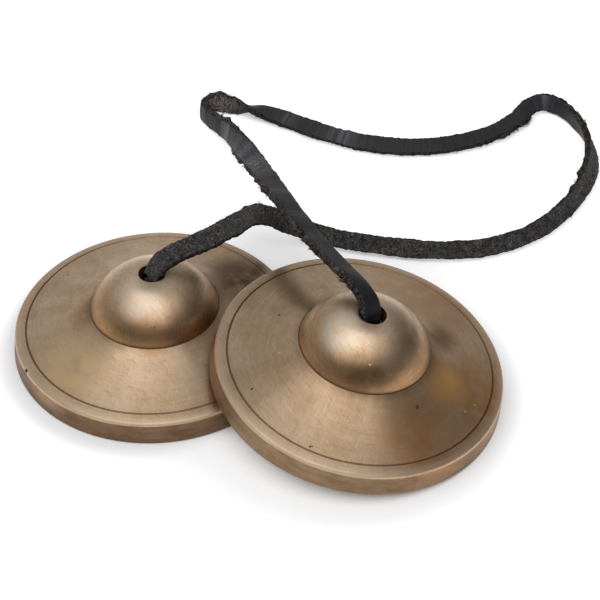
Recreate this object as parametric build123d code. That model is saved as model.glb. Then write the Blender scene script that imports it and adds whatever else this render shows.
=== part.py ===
from build123d import *
import math
import os

# Tingsha: two thick bronze cymbals on one leather strap. Millimetres, +Z up.
# One cymbal lies flat, the other leans on it, and the strap's loop lies on the floor behind them.

# Cymbal casting
rim_radius = 36.0
wall_draft = 0.75
rim_height = 6.0
rim_round = 0.9
foot_round = 0.5
disc_hollowing = 0.5
disc_thickness = 4.6
lip_width = 6.0
lip_slope = 2.5
boss_radius = 16.0
boss_height = 12.25
boss_crease_round = 0.4
dome_rise = 10.888
dome_wall = 4.2
hole_radius = 3.2
hole_round = 0.4
groove_radius = 32.45
groove_width = 0.5
groove_depth = 0.25

# Pair: the second cymbal's foot on the floor and its near edge on the first one's disc
spacing = 53.4
spacing_azimuth = -21.0
rest_gap = 0.2
least_lean = 1.0
most_lean = 20.0
# Turns and tilts, in degrees, at which the leaning one's rounded foot edge is tried for contact
facing_turns = range(120, 241)
edge_tilts = range(0, 91, 15)

# Strap: a flat thong, with a stopper knot in each boss
strap_width = 4.7
strap_thickness = 2.0
knot_radius = 5.0
knot_bulge_share = 0.35
knot_height = 7.6
knot_drop = 1.4
stub_inset = 0.6
tail_length = 4.4
tail_lean = 28.0

# Share of the shorter run that a bend of the strap takes up, and the steps in a bend
bend_share = 0.45
bend_step = 18.0

# The strap's route: a point, and the way its smooth grain side faces there.
# Offsets from the mouth of the flat cymbal's hole
flat_end_route = [
    ((0.0, 0.0, -1.6), (0.75, 0.6, 0.0)),
    ((1.1, 0.5, 1.7), (0.65, 0.5, -0.55)),
    ((4.8, 2.7, 3.4), (0.15, 0.45, -0.85)),
    ((11.6, 7.0, 3.6), (-0.25, 0.4, -0.87)),
]
# Places from the centre of the flat cymbal's foot
loop_route = [
    ((19.4, 13.4, 26.2), (-0.3, 0.45, -0.85)),
    ((25.4, 32.6, 15.6), (-0.15, 0.75, -0.65)),
    ((35.0, 38.6, 4.6), (0.0, 0.75, -0.65)),
    ((49.5, 35.0, 2.6), (0.0, 0.75, -0.65)),
    ((78.0, 30.4, 2.6), (-0.1, 0.74, -0.65)),
    ((97.4, 36.6, 2.6), (-0.4, 0.6, -0.7)),
    ((110.6, 50.2, 2.6), (-0.6, 0.35, -0.75)),
    ((118.9, 67.0, 2.6), (-0.65, 0.2, -0.75)),
    ((119.4, 82.3, 2.6), (-0.95, -0.2, 0.0)),
    ((114.5, 94.2, 2.7), (-0.72, -0.5, 0.35)),
    ((108.7, 98.8, 2.8), (-0.35, -0.8, 0.45)),
    ((103.4, 96.6, 2.8), (0.15, -0.6, 0.75)),
    ((99.0, 88.6, 2.7), (0.4, 0.25, 0.88)),
    ((86.5, 79.6, 2.6), (0.3, -0.3, 0.9)),
    ((68.0, 75.8, 2.6), (0.0, -0.55, 0.83)),
    ((48.0, 80.2, 2.6), (-0.1, -0.55, 0.83)),
    ((28.0, 92.6, 2.6), (-0.1, -0.3, 0.95)),
    ((22.0, 95.0, 2.6), (-0.05, 0.5, 0.85)),
    ((16.0, 97.0, 2.6), (0.0, 0.9, -0.3)),
    ((10.8, 99.3, 2.7), (-0.3, 0.9, -0.1)),
    ((7.2, 94.8, 2.8), (-0.95, 0.2, 0.2)),
    ((9.9, 90.0, 3.1), (-0.92, 0.0, 0.4)),
    ((17.1, 78.2, 6.0), (-0.8, -0.05, 0.6)),
    ((22.5, 56.4, 15.3), (-0.5, 0.15, 0.85)),
    ((30.3, 26.1, 27.4), (0.15, 0.3, 0.94)),
    ((39.0, 3.3, 31.3), (0.3, 0.25, 0.9)),
]
# Offsets from the mouth of the leaning cymbal's hole
leaning_end_route = [
    ((-6.6, 10.6, 4.2), (0.42, 0.2, 0.87)),
    ((-2.5, 4.0, 4.3), (0.52, -0.1, 0.8)),
    ((-0.5, 0.6, 2.0), (0.6, -0.65, 0.4)),
    ((-0.24, 0.09, -1.58), (0.6, -0.75, 0.15)),
]
# The bends, counted along the route, at which the strap's nodes meet
flat_end_last_bend = 6
leaning_end_first_bend = 27

# Worked out from the sizes above
rim_top_radius = rim_radius - wall_draft
lip_inner_radius = rim_radius - lip_width
dome_radius = (boss_radius**2 + dome_rise**2) / (2 * dome_rise)
dome_centre = boss_height + dome_rise - dome_radius
mouth_height = dome_centre + math.sqrt(dome_radius**2 - hole_radius**2)
hollow_radius = dome_radius - dome_wall
hollow_top = dome_centre + hollow_radius
hole_foot = dome_centre + math.sqrt(hollow_radius**2 - hole_radius**2)

disc_chord = math.hypot(rim_top_radius - boss_radius, boss_height - rim_height)
disc_curve = (disc_chord**2 / 4 + disc_hollowing**2) / (2 * disc_hollowing)
disc_normal = (
    (boss_height - rim_height) / disc_chord,
    (rim_top_radius - boss_radius) / disc_chord,
)
disc_middle = ((rim_top_radius + boss_radius) / 2, (rim_height + boss_height) / 2)
disc_curve_centre = (
    disc_middle[0] + disc_normal[0] * (disc_curve - disc_hollowing),
    disc_middle[1] + disc_normal[1] * (disc_curve - disc_hollowing),
)


def disc_top(radius):
    """Height of the disc's slightly hollow upper face."""
    return disc_curve_centre[1] - math.sqrt(disc_curve**2 - (radius - disc_curve_centre[0]) ** 2)


def dome_top(radius):
    """Height of the boss's round upper face."""
    return dome_centre + math.sqrt(dome_radius**2 - radius**2)


def disc_point(radius, drop=0.0):
    return (radius, disc_top(radius) - drop)


def dome_point(sphere_radius, angle):
    """Point of a sphere about the dome's centre, by its angle from the axis."""
    return (sphere_radius * math.sin(angle), dome_centre + sphere_radius * math.cos(angle))


def solve(rising, low, high):
    """Where a rising function passes zero."""
    for _ in range(60):
        middle = (low + high) / 2
        if rising(middle) > 0:
            high = middle
        else:
            low = middle
    return (low + high) / 2


def underside_meeting():
    """Radius at which the disc's underside meets the dome's inside."""

    def underside_less_dome(radius):
        inner_dome = dome_centre + math.sqrt(hollow_radius**2 - radius**2)
        return disc_top(radius) - disc_thickness - inner_dome

    return solve(underside_less_dome, hole_radius, hollow_radius)


def corner_at(profile, place):
    """The profile's corner nearest to that radius and height."""
    return profile.vertices().sort_by_distance(Vector(place))[0]


def make_profile():
    """Half of the casting's section, with the radius across and the height up."""
    meeting = disc_point(underside_meeting(), disc_thickness)
    slope_top = disc_point(lip_inner_radius - lip_slope, disc_thickness)
    halfway = disc_point((slope_top[0] + meeting[0]) / 2, disc_thickness)
    mouth = (hole_radius, mouth_height)
    crease = (boss_radius, boss_height)
    rim_top = (rim_top_radius, rim_height)
    foot = (rim_radius, 0)
    lip = (lip_inner_radius, 0)
    hole_end = (hole_radius, hole_foot)
    dome_middle = (math.asin(hole_radius / dome_radius) + math.asin(boss_radius / dome_radius)) / 2
    inside_middle = (math.asin(hole_radius / hollow_radius) + math.asin(meeting[0] / hollow_radius)) / 2
    with BuildLine() as outline:
        Line(hole_end, mouth)
        ThreePointArc(mouth, dome_point(dome_radius, dome_middle), crease)
        ThreePointArc(crease, disc_point(disc_middle[0]), rim_top)
        Polyline(rim_top, foot, lip, slope_top)
        ThreePointArc(slope_top, halfway, meeting)
        ThreePointArc(meeting, dome_point(hollow_radius, inside_middle), hole_end)
    profile = make_face(outline.line)
    groove_curve = (groove_width**2 / 4 + groove_depth**2) / (2 * groove_depth)
    groove_centre = disc_top(groove_radius) - groove_depth + groove_curve
    profile -= Pos(groove_radius, groove_centre) * Circle(groove_curve)
    for place, size in (
        (rim_top, rim_round),
        (foot, foot_round),
        (lip, foot_round),
        (crease, boss_crease_round),
        (mouth, hole_round),
        (hole_end, hole_round),
    ):
        profile = fillet(corner_at(profile, place), size)
    return profile


def make_cymbal():
    """One casting, standing on its lip about the Z axis."""
    return revolve(Plane.XZ * make_profile(), Axis.Z)


def leaning_plane(lean):
    """The leaning cymbal's own frame, for a lean in degrees away from the flat one."""
    azimuth = math.radians(spacing_azimuth)
    slope = math.radians(lean)
    away = Vector(math.cos(azimuth), math.sin(azimuth), 0)
    lift = (rim_radius - foot_round) * math.sin(slope) + foot_round * (1 - math.cos(slope))
    downhill = away * math.cos(slope) - Vector(0, 0, math.sin(slope))
    axis = away * math.sin(slope) + Vector(0, 0, math.cos(slope))
    return Plane(away * spacing + Vector(0, 0, lift), x_dir=downhill, z_dir=axis)


def gap_over_flat_cymbal(lean):
    """Least height of the leaning cymbal's rounded foot edge over the flat one's upper face."""
    frame = leaning_plane(lean)
    least = spacing
    for turn in facing_turns:
        for tilt in edge_tilts:
            radius = rim_radius - foot_round + foot_round * math.sin(math.radians(tilt))
            height = foot_round - foot_round * math.cos(math.radians(tilt))
            around = math.radians(turn)
            place = frame.from_local_coords(
                Vector(radius * math.cos(around), radius * math.sin(around), height)
            )
            reach = math.hypot(place.X, place.Y)
            if reach < rim_top_radius:
                under = disc_top(reach) if reach > boss_radius else dome_top(reach)
                least = min(least, place.Z - under)
    return least


def lean_to_rest():
    """The lean at which the foot edge just clears the flat cymbal."""
    return solve(lambda lean: gap_over_flat_cymbal(lean) - rest_gap, least_lean, most_lean)


def strap_plane(place, along, grain_side):
    """The plane of a cut across the strap, with X along the strap's width."""
    return Plane(place, x_dir=along.cross(grain_side), z_dir=along)


def bend_radius(before, corner, after):
    turn = (corner - before).get_angle(after - corner)
    shorter = min((corner - before).length, (after - corner).length)
    return bend_share * shorter / math.tan(math.radians(turn) / 2)


def strap_stations(points, grain_sides):
    """Planes along straight runs joined by arcs, grouped by the bend that they belong to."""
    radii = [bend_radius(*points[i - 1 : i + 2]) for i in range(1, len(points) - 1)]
    path = FilletPolyline(*points, radius=radii)
    arcs = [edge for edge in path.edges() if edge.geom_type == GeomType.CIRCLE]
    stations = []
    for i, arc in enumerate(arcs, start=1):
        forward = (arc @ 0 - points[i - 1]).length < (arc @ 1 - points[i - 1]).length
        turn = math.degrees(arc.length / arc.radius)
        steps = max(2, math.ceil(turn / bend_step))
        bend = []
        for step in range(steps + 1):
            share = step / steps
            on_arc = share if forward else 1 - share
            along = arc % on_arc if forward else -(arc % on_arc)
            other = grain_sides[i - 1] if share < 0.5 else grain_sides[i + 1]
            grain_side = grain_sides[i] * (1 - abs(share - 0.5)) + other * abs(share - 0.5)
            bend.append(strap_plane(arc @ on_arc, along, grain_side))
        stations.append(bend)
    start = strap_plane(points[0], points[1] - points[0], grain_sides[0])
    end = strap_plane(points[-1], points[-1] - points[-2], grain_sides[-1])
    print("strap bend radii:", ", ".join(f"{radius:.1f}" for radius in radii))
    print(f"strap length between the knots' stubs: {path.length:.1f}")
    return start, stations, end, path.length


def make_strap(planes):
    """A stretch of the strap through those planes."""
    return loft([plane * Rectangle(strap_width, strap_thickness) for plane in planes], ruled=True)


def make_knot(frame, strap_end):
    """Stopper knot under the hole: the strap's end in the hole, its wraps and a short tail."""
    knot_top = hollow_top - knot_drop
    knot_foot = knot_top - knot_height
    wrap = knot_height / 2
    neck = knot_radius - knot_bulge_share * wrap
    with BuildSketch(Plane.XZ) as wraps:
        with BuildLine():
            Line((0, knot_foot), (neck, knot_foot))
            for foot in (knot_foot, knot_foot + wrap):
                ThreePointArc((neck, foot), (knot_radius, foot + wrap / 2), (neck, foot + wrap))
            Polyline((neck, knot_top), (0, knot_top), (0, knot_foot))
        make_face()
    stub_root = Plane(
        frame.from_local_coords(Vector(0, 0, knot_top - stub_inset)),
        x_dir=strap_end.x_dir,
        z_dir=frame.z_dir * math.copysign(1, frame.z_dir.dot(strap_end.z_dir)),
    )
    tail_root = frame * Pos(Z=knot_foot + stub_inset) * Rot(X=180 - tail_lean)
    tail = tail_root * extrude(Rectangle(strap_width, strap_thickness), tail_length)
    return frame * revolve(wraps.sketch, Axis.Z) + make_strap([stub_root, strap_end]) + tail


# Cymbals
cymbal = make_cymbal()
lean = lean_to_rest()
flat_frame = Plane.XY
leaning_frame = leaning_plane(lean)
left_cymbal = cymbal
right_cymbal = leaning_frame * cymbal

# Strap
flat_mouth = flat_frame.from_local_coords(Vector(0, 0, mouth_height))
leaning_mouth = leaning_frame.from_local_coords(Vector(0, 0, mouth_height))
route = [(flat_mouth + Vector(offset), side) for offset, side in flat_end_route]
route += [(Vector(place), side) for place, side in loop_route]
route += [(leaning_mouth + Vector(offset), side) for offset, side in leaning_end_route]
route_points = [place for place, _ in route]
route_sides = [Vector(side).normalized() for _, side in route]
start_plane, bends, end_plane, strap_length = strap_stations(route_points, route_sides)

left_bends = bends[:flat_end_last_bend]
loop_bends = bends[flat_end_last_bend : leaning_end_first_bend - 1]
right_bends = bends[leaning_end_first_bend - 1 :]
left_planes = [start_plane] + sum(left_bends, [])
loop_planes = [left_planes[-1]] + sum(loop_bends, [])
right_planes = [loop_planes[-1]] + sum(right_bends, []) + [end_plane]
strap_left_end = make_strap(left_planes)
strap_loop = make_strap(loop_planes)
strap_right_end = make_strap(right_planes)
strap_volume = strap_left_end.volume + strap_loop.volume + strap_right_end.volume
strap_share = strap_volume / (strap_width * strap_thickness * strap_length)
print(f"strap volume over section times length: {strap_share:.4f}")

left_knot = make_knot(flat_frame, start_plane)
right_knot = make_knot(leaning_frame, end_plane)

# The origin goes under the middle of the two cymbals
pair_box = Compound([left_cymbal, right_cymbal]).bounding_box()
to_origin = Pos(-pair_box.center().X, -pair_box.center().Y, -pair_box.min.Z)
nodes = {
    "left_cymbal": left_cymbal,
    "right_cymbal": right_cymbal,
    "left_knot": left_knot,
    "right_knot": right_knot,
    "strap_left_end": strap_left_end,
    "strap_loop": strap_loop,
    "strap_right_end": strap_right_end,
}
os.makedirs("parts", exist_ok=True)
for name, node in nodes.items():
    export_step(to_origin * node, f"parts/{name}.step")

print(f"lean {lean:.3f} degrees")
print("flat cymbal's foot centre", to_origin.position)
print("flat cymbal's hole mouth", to_origin.position + flat_mouth)
print("leaning cymbal's hole mouth", to_origin.position + leaning_mouth)
print("leaning cymbal's axis", leaning_frame.z_dir)
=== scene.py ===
import math
import random

import bpy
import numpy as np
from mathutils import Matrix, Vector, noise


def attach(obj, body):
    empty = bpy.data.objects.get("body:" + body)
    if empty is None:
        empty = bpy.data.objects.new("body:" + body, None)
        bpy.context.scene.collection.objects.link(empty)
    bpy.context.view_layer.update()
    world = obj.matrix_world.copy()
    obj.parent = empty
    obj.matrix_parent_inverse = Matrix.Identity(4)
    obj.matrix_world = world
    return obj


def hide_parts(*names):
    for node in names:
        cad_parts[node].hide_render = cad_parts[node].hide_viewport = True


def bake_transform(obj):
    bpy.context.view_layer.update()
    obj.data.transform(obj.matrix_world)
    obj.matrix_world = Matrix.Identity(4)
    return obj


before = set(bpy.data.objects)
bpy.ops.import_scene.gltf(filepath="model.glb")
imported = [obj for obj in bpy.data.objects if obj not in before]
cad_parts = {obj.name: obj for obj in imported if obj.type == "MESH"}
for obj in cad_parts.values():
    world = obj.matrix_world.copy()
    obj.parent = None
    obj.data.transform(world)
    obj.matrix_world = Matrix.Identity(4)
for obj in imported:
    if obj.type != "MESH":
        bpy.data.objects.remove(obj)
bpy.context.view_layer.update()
scene = bpy.context.scene
scene.view_settings.view_transform = "Standard"
MM = 0.001

# Where the two cymbals stand, in metres
FLAT_FOOT = Vector((-0.0248272, 0.0095532, 0.0))
LEANING_FOOT = Vector((0.0250260, -0.0095836, 0.0057348))
FLAT_TURN = Matrix.Identity(3)
LEANING_TURN = Matrix.Rotation(math.radians(-21.0), 3, "Z") @ Matrix.Rotation(math.radians(9.286), 3, "Y")

# Cymbal sizes, in millimetres
RIM_RADIUS = 36.0
WALL_DRAFT = 0.75
RIM_HEIGHT = 6.0
RIM_ROUND = 0.9
FOOT_ROUND = 0.5
DISC_HOLLOWING = 0.5
DISC_THICKNESS = 4.6
LIP_WIDTH = 6.0
LIP_SLOPE = 2.5
BOSS_RADIUS = 16.0
BOSS_HEIGHT = 12.25
CREASE_ROUND = 0.4
DOME_RISE = 10.888
DOME_WALL = 4.2
HOLE_RADIUS = 3.2
HOLE_ROUND = 0.4
GROOVE_RADIUS = 32.45
GROOVE_WIDTH = 0.5
GROOVE_DEPTH = 0.25
SPIN_STEPS = 448

RIM_TOP = RIM_RADIUS - WALL_DRAFT
LIP_INNER = RIM_RADIUS - LIP_WIDTH
DOME_RADIUS = (BOSS_RADIUS**2 + DOME_RISE**2) / (2 * DOME_RISE)
DOME_CENTRE = BOSS_HEIGHT + DOME_RISE - DOME_RADIUS
INSIDE_RADIUS = DOME_RADIUS - DOME_WALL
MOUTH_HEIGHT = DOME_CENTRE + math.sqrt(DOME_RADIUS**2 - HOLE_RADIUS**2)
HOLE_FOOT = DOME_CENTRE + math.sqrt(INSIDE_RADIUS**2 - HOLE_RADIUS**2)
FLAT_MOUTH = FLAT_FOOT + Vector((0, 0, MOUTH_HEIGHT * MM))
LEANING_MOUTH = LEANING_FOOT + LEANING_TURN @ Vector((0, 0, MOUTH_HEIGHT * MM))

# Strap: a point of its route, and the way its smooth grain side faces there
STRAP_WIDTH = 4.8
STRAP_THICKNESS = 2.0
FLAT_END_ROUTE = [
    ((0.0, 0.0, -0.0016), (0.75, 0.6, 0.0)),
    ((0.0011, 0.0005, 0.0017), (0.65, 0.5, -0.55)),
    ((0.0048, 0.0027, 0.0034), (0.15, 0.45, -0.85)),
    ((0.0116, 0.0070, 0.0036), (-0.25, 0.4, -0.87)),
]
LOOP_ROUTE = [
    ((0.0194, 0.0134, 0.0262), (-0.3, 0.45, -0.85)),
    ((0.0254, 0.0326, 0.0156), (-0.15, 0.75, -0.65)),
    ((0.0350, 0.0386, 0.0046), (0.0, 0.75, -0.65)),
    ((0.0495, 0.0350, 0.0026), (0.0, 0.75, -0.65)),
    ((0.0780, 0.0304, 0.0026), (-0.1, 0.74, -0.65)),
    ((0.0974, 0.0366, 0.0026), (-0.4, 0.6, -0.7)),
    ((0.1106, 0.0502, 0.0026), (-0.6, 0.35, -0.75)),
    ((0.1189, 0.0670, 0.0026), (-0.65, 0.2, -0.75)),
    ((0.1194, 0.0823, 0.0026), (-0.92, -0.2, -0.25)),
    ((0.1145, 0.0942, 0.0027), (-0.75, -0.65, 0.1)),
    ((0.1087, 0.0988, 0.0028), (-0.35, -0.8, 0.45)),
    ((0.1034, 0.0966, 0.0028), (0.15, -0.6, 0.75)),
    ((0.0990, 0.0886, 0.0027), (0.4, 0.25, 0.88)),
    ((0.0865, 0.0796, 0.0026), (0.3, -0.3, 0.9)),
    ((0.0680, 0.0758, 0.0026), (0.0, -0.55, 0.83)),
    ((0.0480, 0.0802, 0.0026), (-0.1, -0.55, 0.83)),
    ((0.0280, 0.0926, 0.0026), (-0.1, -0.3, 0.95)),
    ((0.0220, 0.0950, 0.0026), (-0.05, 0.5, 0.85)),
    ((0.0160, 0.0970, 0.0026), (0.0, 0.9, -0.3)),
    ((0.0108, 0.0993, 0.0027), (-0.3, 0.9, -0.1)),
    ((0.0072, 0.0948, 0.0028), (-0.97, 0.1, 0.05)),
    ((0.0099, 0.0900, 0.0031), (-0.9, -0.38, 0.05)),
    ((0.0171, 0.0782, 0.0060), (-0.86, -0.38, 0.28)),
    ((0.0225, 0.0564, 0.0153), (-0.5, 0.15, 0.85)),
    ((0.0303, 0.0261, 0.0274), (0.15, 0.3, 0.94)),
    ((0.0390, 0.0033, 0.0313), (0.3, 0.25, 0.9)),
]
LEANING_END_ROUTE = [
    ((-0.0066, 0.0106, 0.0042), (0.42, 0.2, 0.87)),
    ((-0.0025, 0.0040, 0.0043), (0.52, -0.1, 0.8)),
    ((-0.0005, 0.0006, 0.0020), (0.6, -0.65, 0.4)),
    ((-0.00024, 0.00009, -0.00158), (0.6, -0.75, 0.15)),
]
RAIL_REACH = 0.004
POINTS_PER_RUN = 64
SEAM_RUN = 17
GRAIN_STATIONS = (-0.90, -0.72, -0.5, -0.25, 0.0, 0.25, 0.5, 0.72, 0.90)
SUEDE_STATIONS = (0.92, 0.75, 0.55, 0.35, 0.12, -0.12, -0.35, -0.55, -0.75, -0.92)
LOWEST_SKIN = 0.00003

# The strap's width as a share of its usual width, by the way to the nearer hole, in metres, and where a broad
# sheen is painted on its grain, by the way from the flat cymbal
FLAT_SIDE_WIDTHS = ((0.0, 0.012, 0.045, 0.075), (1.02, 1.09, 1.09, 1.0))
LEANING_SIDE_WIDTHS = ((0.0, 0.012, 0.030, 0.120, 0.160), (1.03, 1.10, 1.15, 1.15, 1.0))
BROAD_SHEEN_STRETCH = ((0.165, 0.185, 0.300, 0.315), (0.0, 1.0, 1.0, 0.0))
FLAT_SIDE_FIBRES = 1500
LEANING_SIDE_FIBRES = 3000
FIBRE_ROOT = 2.25

# Where a pale sheen is painted on the strap's grain side, where the grain is cracked, with pale crack lines
# and painted sheen, and where a cut edge is frayed: place from the flat cymbal's foot, reach along the strap,
# and for the frayed edges the side, 1 or -1 across the strap, and how far they show the undyed brown
PAINTED_SHEEN_PLACES = [((0.0480, 0.0808, 0.0026), 0.0065), ((0.0155, 0.0800, 0.0055), 0.0045),
                 ((0.1065, 0.0980, 0.0028), 0.0035), ((0.0330, 0.0900, 0.0026), 0.0030),
                 ((0.0078, 0.0945, 0.0030), 0.0045)]
CRACKED_PLACES = [((0.0250, 0.0475, 0.0187), 0.0085), ((0.0215, 0.0600, 0.0137), 0.0050)]
FRAYED_PLACES = [((0.0110, 0.0960, 0.0030), 0.0110, -1, 1.0), ((0.0090, 0.0960, 0.0030), 0.0100, 1, 1.0),
                 ((0.0150, 0.0820, 0.0050), 0.0110, -1, 1.0), ((0.0190, 0.0690, 0.0095), 0.0110, 1, 0.9),
                 ((0.0225, 0.0560, 0.0150), 0.0130, 1, 0.9), ((0.0285, 0.0330, 0.0245), 0.0150, 1, 0.7),
                 ((0.0390, 0.0060, 0.0310), 0.0150, 1, 0.6), ((0.0470, -0.0120, 0.0325), 0.0100, 1, 0.5),
                 ((0.1195, 0.0830, 0.0030), 0.0130, 1, 0.35), ((0.1195, 0.0780, 0.0030), 0.0140, -1, 0.3),
                 ((0.0975, 0.0875, 0.0030), 0.0120, -1, 0.15), ((0.1150, 0.0610, 0.0030), 0.0110, 1, 0.2)]

# Marks on the bronze: distance from the axis, angle in degrees and radius, in millimetres
FLAT_PITS = [(34.95, -151.5, 0.62), (34.95, -150.8, 0.48), (14.4, 162.3, 0.36), (28.5, 145.8, 0.34),
             (13.2, -85.0, 0.24), (13.35, -86.5, 0.22), (13.3, -88.6, 0.18)]
LEANING_PITS = [(22.2, 178.0, 0.38), (29.5, -131.4, 0.34), (29.8, -131.1, 0.26), (20.6, -31.9, 0.40),
                (20.9, -33.0, 0.32), (31.5, -92.2, 0.38), (31.2, -91.5, 0.28)]
LEANING_SPECKS = [(12.1, -69.6, 0.34), (20.8, -147.5, 0.42), (28.4, -9.3, 0.40), (29.5, -2.1, 0.34)]
RIM_MARK_HEIGHT = 5.55

# The dent in the flat cymbal's rim: way from the axis, angle in degrees, radius and depth, in millimetres,
# then the height that it stays above, and how far it sinks for each step inward
FLAT_NOTCH = (35.1, -151.2, 0.9, 0.25)
NOTCH_LOWEST = 4.6
NOTCH_SINK = 0.8

# Patches on the bronze, painted shade, reflections and highlights among them, the rest other tones:
# way from the axis, angle in degrees, reach in millimetres, and tone
# (15.2, -170) painted shade on the dome's left flank; (8.0, -112) a painted highlight, paler and whiter
FLAT_TONE_AND_LIGHT_PATCHES = [(15.2, -170.0, 9.0, (0.33, 0.195, 0.10)), (8.0, -112.0, 8.0, (0.56, 0.455, 0.355)),
                # (24.6, 36) painted shade and dark reflection right of the dome; (27.0, -137) paler, more
                # golden at front-left
                (24.6, 36.0, 14.0, (0.20, 0.112, 0.062)), (27.0, -137.0, 13.0, (0.72, 0.515, 0.295)),
                # (14.6, -92) painted reflection of the disc, brown, on the dome's low front
                (14.6, -92.0, 6.5, (0.52, 0.295, 0.145))]
# (27.0, 70) and (28.0, 2) broad browner tones toward the back and the right
LEANING_TONE_AND_LIGHT_PATCHES = [(27.0, 70.0, 18.0, (0.46, 0.29, 0.165)), (28.0, 2.0, 17.0, (0.49, 0.265, 0.12)),
                   # (27.0, -40) a broad golden-brown tone; (21.0, -3) a painted golden highlight on the disc
                   (27.0, -40.0, 15.0, (0.57, 0.305, 0.14)), (21.0, -3.0, 8.5, (0.80, 0.45, 0.18)),
                   # (20.0, 40) a small darker tone beside the boss; (13.5, 12) painted shade on the dome's
                   # right flank
                   (20.0, 40.0, 7.0, (0.25, 0.145, 0.08)), (13.5, 12.0, 11.0, (0.25, 0.145, 0.075)),
                   # (14.2, -72) painted shade on the dome's low front; (8.5, -128) a painted highlight, paler
                   # and whiter
                   (14.2, -72.0, 9.0, (0.27, 0.155, 0.08)), (8.5, -128.0, 7.5, (0.64, 0.550, 0.440))]

# Tones of the bronze
# Rim wall tones are painted shade: darker, for the walls' reflection of the shaded floor, most on the flat
# cymbal
FLAT_WALL_SHADED_TONES = ((0.148, 0.086, 0.049), (0.240, 0.148, 0.090))
LEANING_WALL_SHADED_TONES = ((0.203, 0.127, 0.073), (0.315, 0.208, 0.126))
CLEAN_TONES = ((0.615, 0.455, 0.312), (0.545, 0.385, 0.248))
PATINA_TONE = (0.430, 0.272, 0.150)
FAN_TONE = (0.420, 0.280, 0.170)
# Painted reflection: the dome's lower part darker and browner, as if mirroring the disc round it
DOME_FOOT_REFLECTION_TONE = (0.372, 0.202, 0.084)
# Painted highlight: a paler, whiter tone on the dome's head
DOME_HEAD_HIGHLIGHT_TONE = (0.600, 0.470, 0.345)
BROAD_RING_TONE = (0.680, 0.510, 0.350)
FINE_RING_TONE = (0.340, 0.220, 0.130)
SLANT_TONE = (0.320, 0.210, 0.125)
CROSS_TONE = (0.740, 0.570, 0.410)
# Tone of the dark crease line, groove and hole, and of the painted shade round the crease
DIRT_AND_SHADE_TONE = (0.125, 0.068, 0.034)
# Paler tone of the rim's rounding: partly wear, partly a painted highlight along the edge
WORN_EDGE_HIGHLIGHT_TONE = (0.760, 0.600, 0.440)
PIT_TONE = (0.060, 0.032, 0.018)
SPECK_TONE = (0.74, 0.60, 0.46)
CAST_TONES = ((0.245, 0.155, 0.085), (0.42, 0.285, 0.17))
BRUSH_STROKE = (0.0045, 0.00030, 0.0015)

# Tones of the leather
GRAIN_TONES = ((0.0110, 0.0110, 0.0128), (0.0240, 0.0240, 0.0280))
# Tone of a broad painted sheen on one stretch of the grain
GRAIN_BROAD_SHEEN_TONE = (0.048, 0.048, 0.053)
# Pale tone of the painted sheen on the grain, along creases and in cracked places, and of the pale crack
# lines
GRAIN_SHEEN_TONE = (0.200, 0.202, 0.220)
SUEDE_TONES = ((0.0150, 0.0145, 0.0145), (0.0720, 0.0690, 0.0670))
SUEDE_NAP = (0.200, 0.190, 0.184)
SUEDE_BARE = (0.450, 0.368, 0.318)
EDGE_TONES = ((0.0120, 0.0110, 0.0105), (0.0720, 0.0660, 0.0620))
EDGE_BARE = (0.275, 0.214, 0.180)

# Knots, in millimetres, and their width as a share of the strap's
KNOT_SIZE = 1.2
KNOT_RISE = 1.9
KNOT_HEIGHT = 13.9
KNOT_WIDTH = 0.84
KNOT_POINT_STEP = 6
KNOT_FIBRES = 60

# Camera, floor and light
CAMERA_PLACE = (0.011387, -0.306494, 0.303537)
CAMERA_TILT = 47.475
CAMERA_LENS = 103.5
CAMERA_SENSOR = 36.0
FLOOR_SIZE = 6.0
FLOOR_HEIGHT = -0.00005
FLOOR_TONE = (0.93, 0.935, 0.945, 1)
FLOOR_GLOW = 0.60
CORNER_GLOW = 0.30
SHADE_REACH = 0.06
SIDE_SHADE_SHIFT = Vector((-0.0030, -0.0025, 0))
KEY_PLACE = (-0.09, -0.28, 0.68)
KEY_TARGET = (0, 0.02, 0)
KEY_SIZE = (0.95, 0.70)
KEY_POWER = 3.6
BRIGHT_WAY = (-0.5, 0.87, 0.0)
BRIGHT_EASE = (-0.4, 0.95)
BRIGHT_STRENGTH = (0.13, 0.55)


def add_camera():
    data = bpy.data.cameras.new("camera")
    data.sensor_width = CAMERA_SENSOR
    data.lens = CAMERA_LENS
    camera = bpy.data.objects.new("camera", data)
    camera.location = CAMERA_PLACE
    camera.rotation_euler = (math.radians(CAMERA_TILT), 0, 0)
    scene.collection.objects.link(camera)
    scene.camera = camera


# Heights of the casting's faces
def disc_top(radius):
    """Height of the disc's slightly hollow upper face."""
    chord = math.hypot(RIM_TOP - BOSS_RADIUS, BOSS_HEIGHT - RIM_HEIGHT)
    curve = (chord**2 / 4 + DISC_HOLLOWING**2) / (2 * DISC_HOLLOWING)
    reach = (curve - DISC_HOLLOWING) / chord
    centre_across = (RIM_TOP + BOSS_RADIUS) / 2 + (BOSS_HEIGHT - RIM_HEIGHT) * reach
    centre_up = (RIM_HEIGHT + BOSS_HEIGHT) / 2 + (RIM_TOP - BOSS_RADIUS) * reach
    return centre_up - np.sqrt(curve**2 - (radius - centre_across) ** 2)


def dome_top(radius, size=DOME_RADIUS):
    """Height of the boss's round upper face, or of its inside."""
    return DOME_CENTRE + np.sqrt(np.maximum(size**2 - np.square(radius), 0.0))


def mark_place(distance, angle):
    """A mark's place on the upper face, in the cymbal's own frame, in metres."""
    height = dome_top(distance) if distance < BOSS_RADIUS else disc_top(distance)
    if distance > RIM_TOP - RIM_ROUND:
        height = RIM_MARK_HEIGHT
    around = math.radians(angle)
    return Vector((distance * math.cos(around), distance * math.sin(around), height)) * MM


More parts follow.
